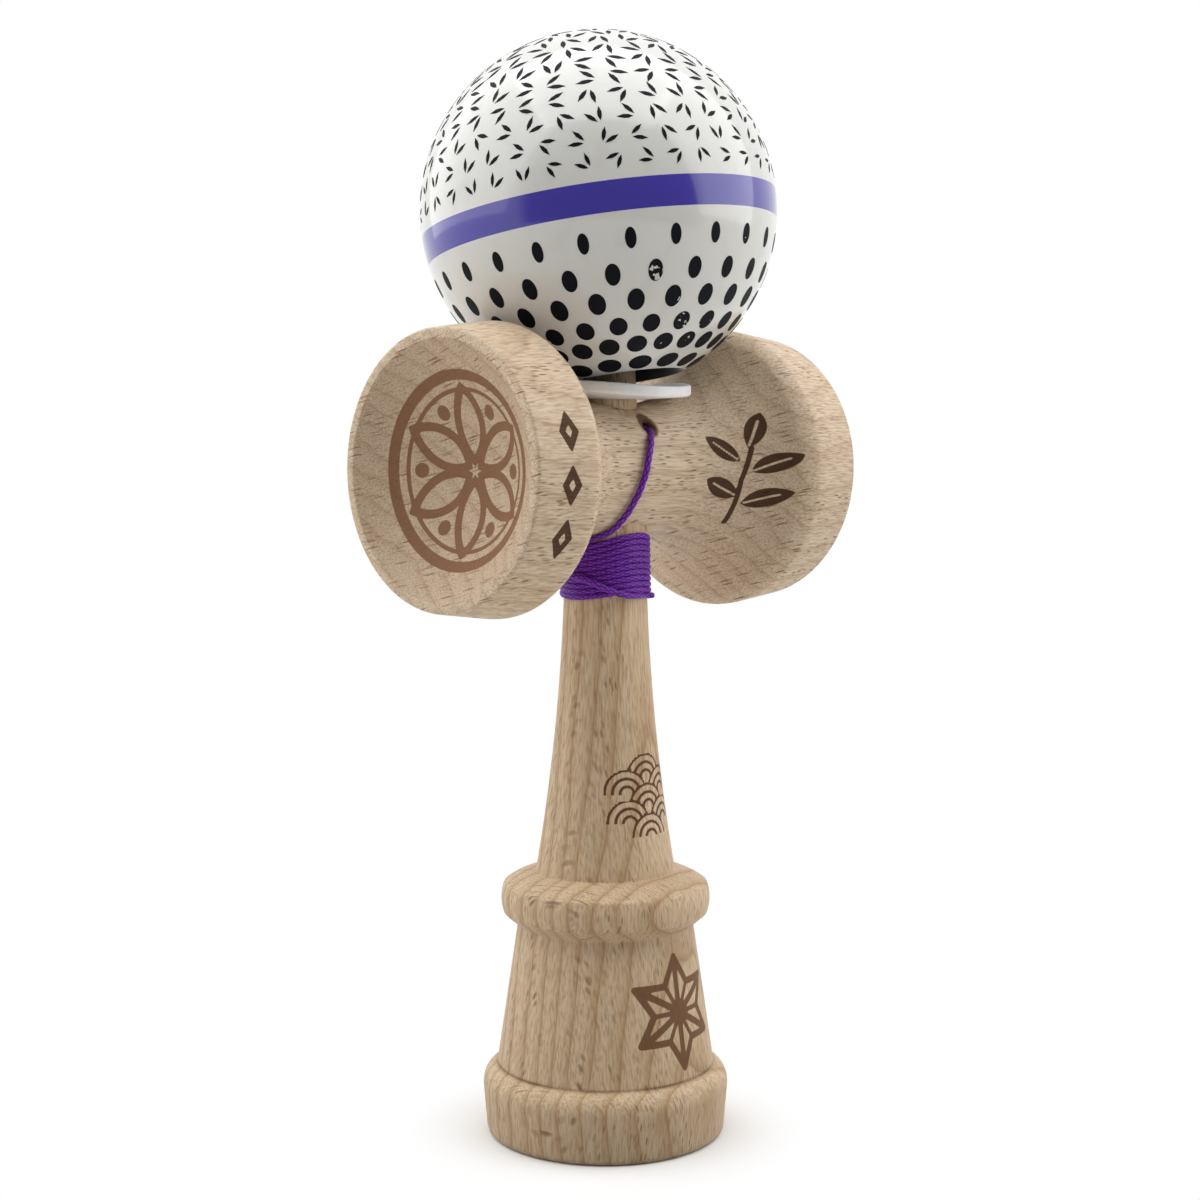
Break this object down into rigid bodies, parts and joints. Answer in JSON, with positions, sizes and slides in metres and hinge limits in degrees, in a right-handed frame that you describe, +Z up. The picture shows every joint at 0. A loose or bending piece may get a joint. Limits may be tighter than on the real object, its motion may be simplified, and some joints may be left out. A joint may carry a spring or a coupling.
{
  "type": "kendama",
  "caption": "Beech kendama: spindle with spike and base cup, cross piece with a small and a large cup, painted ball on the spike over a soft washer, and a string wound round the stem.",
  "frame": {"origin": "centre of the underside of the ken's base, on the ken's axis", "axes": "+Z up along the ken to its spike; +X along the cross piece to the large cup; -Y to the side of the string hole"},
  "size_m": [0.0773, 0.0613, 0.1881],
  "materials": {
    "beech": "sanded, waxed",
    "painted_beech": "gloss paint",
    "washer": "soft, matt",
    "string": "braided nylon",
    "bead": "plain"
  },
  "bodies": {
    "ken": {"ken": "beech", "sarado": "beech", "ken_knot": "string", "string_lead": "string", "string_winding": "string", "string_tail": "string"},
    "washer": {"spike_washer": "washer"},
    "string_end": {"string_inner": "string", "string_bead": "bead", "tama_knot": "string"},
    "tama": {"tama": "painted_beech"}
  },
  "joints": [
    {"name": "tama_lift", "type": "slide", "parent": "ken", "child": "string_end", "axis": [0, 0, 1], "range_m": [0, 0.06], "deforming": ["string_tail"]},
    {"name": "tama_spin", "type": "hinge", "parent": "string_end", "child": "tama", "pos_m": [-0.0007, 0.00095, 0.15737], "axis": [-0.0437, 0.1466, 0.9882], "continuous": true},
    {"name": "washer_lift", "type": "slide", "parent": "ken", "child": "washer", "axis": [0, 0, 1], "range_m": [0, 0.04]}
  ],
  "couplings": [
    {"joint": "washer_lift", "follows": "tama_lift", "ratio": 0.6666}
  ]
}
